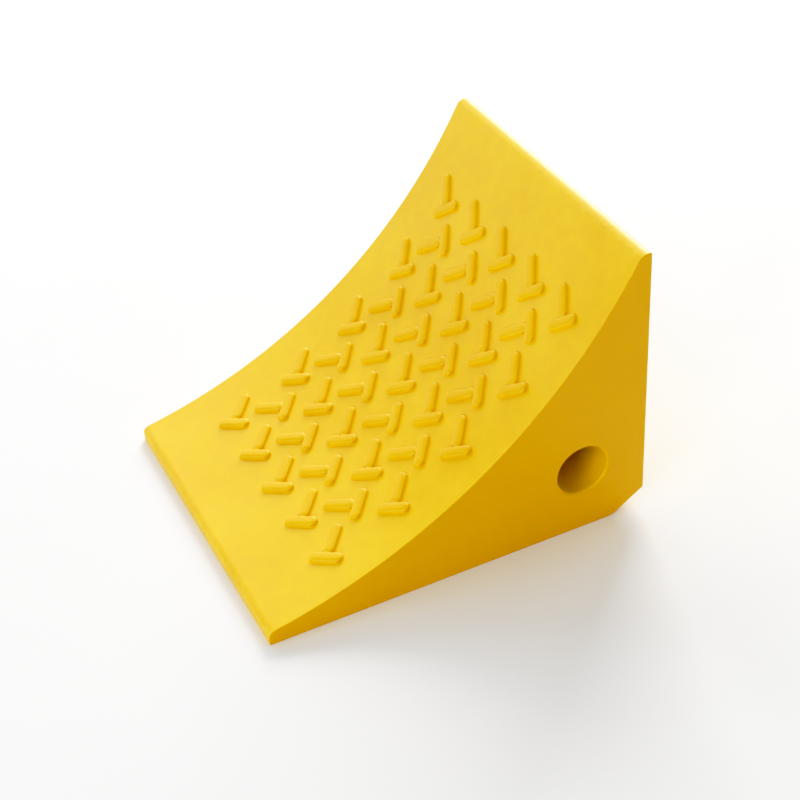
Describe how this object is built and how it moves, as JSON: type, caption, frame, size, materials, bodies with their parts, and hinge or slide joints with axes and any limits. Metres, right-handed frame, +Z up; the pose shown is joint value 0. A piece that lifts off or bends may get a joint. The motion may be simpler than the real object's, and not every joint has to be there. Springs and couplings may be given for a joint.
{
  "type": "wheel chock",
  "caption": "One-piece moulded wedge chock with a concave treaded tyre face, a flat base, a vertical back and a rope bore through its width.",
  "frame": {"origin": "on the ground, under the middle of the bounding box", "axes": "+X along the width, parallel to the rope bore; +Y from the thin nose to the tall back; +Z up"},
  "size_m": [0.174, 0.2, 0.147],
  "materials": {
    "polyurethane": "satin"
  },
  "bodies": {
    "root": {"chock_body": "polyurethane"}
  },
  "joints": []
}
